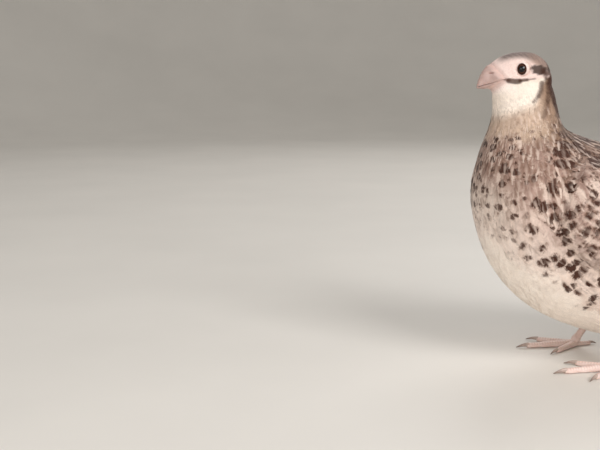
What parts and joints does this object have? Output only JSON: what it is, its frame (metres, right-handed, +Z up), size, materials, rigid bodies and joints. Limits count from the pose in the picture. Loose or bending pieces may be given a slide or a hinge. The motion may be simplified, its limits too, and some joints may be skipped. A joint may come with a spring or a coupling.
{
  "type": "coturnix quail",
  "caption": "Life-size still model of a plump, short-tailed ground bird with folded wings, standing on both feet with its head turned slightly aside.",
  "frame": {"origin": "on the floor, under the middle of the model's box", "axes": "+Z up, the bird faces -Y and its left side is towards +X"},
  "size_m": [0.0758, 0.1472, 0.1385],
  "materials": {
    "back_and_breast_feathers": "matt feathers, pinkish fawn with dark brown spots and pale shafts",
    "pale_feathers": "matt cream feathers",
    "wing_and_tail_feathers": "matt fawn feathers with dark brown bars",
    "bill": "smooth pinkish horn",
    "eye": "wet, very dark brown",
    "leg_skin": "scaled pale pink skin",
    "claw": "smooth pale horn"
  },
  "bodies": {
    "root": {"torso": "back_and_breast_feathers", "neck": "pale_feathers", "eye_left": "eye", "eye_right": "eye", "bill_upper": "bill", "bill_lower": "bill", "head": "pale_feathers", "wing_left": "wing_and_tail_feathers", "wing_right": "wing_and_tail_feathers", "tail": "wing_and_tail_feathers", "toe_middle_left": "leg_skin", "claw_middle_left": "claw", "toe_outer_left": "leg_skin", "claw_outer_left": "claw", "toe_inner_left": "leg_skin", "claw_inner_left": "claw", "toe_hind_left": "leg_skin", "claw_hind_left": "claw", "thigh_left": "pale_feathers", "shank_left": "leg_skin", "toe_middle_right": "leg_skin", "claw_middle_right": "claw", "toe_outer_right": "leg_skin", "claw_outer_right": "claw", "toe_inner_right": "leg_skin", "claw_inner_right": "claw", "toe_hind_right": "leg_skin", "claw_hind_right": "claw", "thigh_right": "pale_feathers", "shank_right": "leg_skin"}
  },
  "joints": []
}
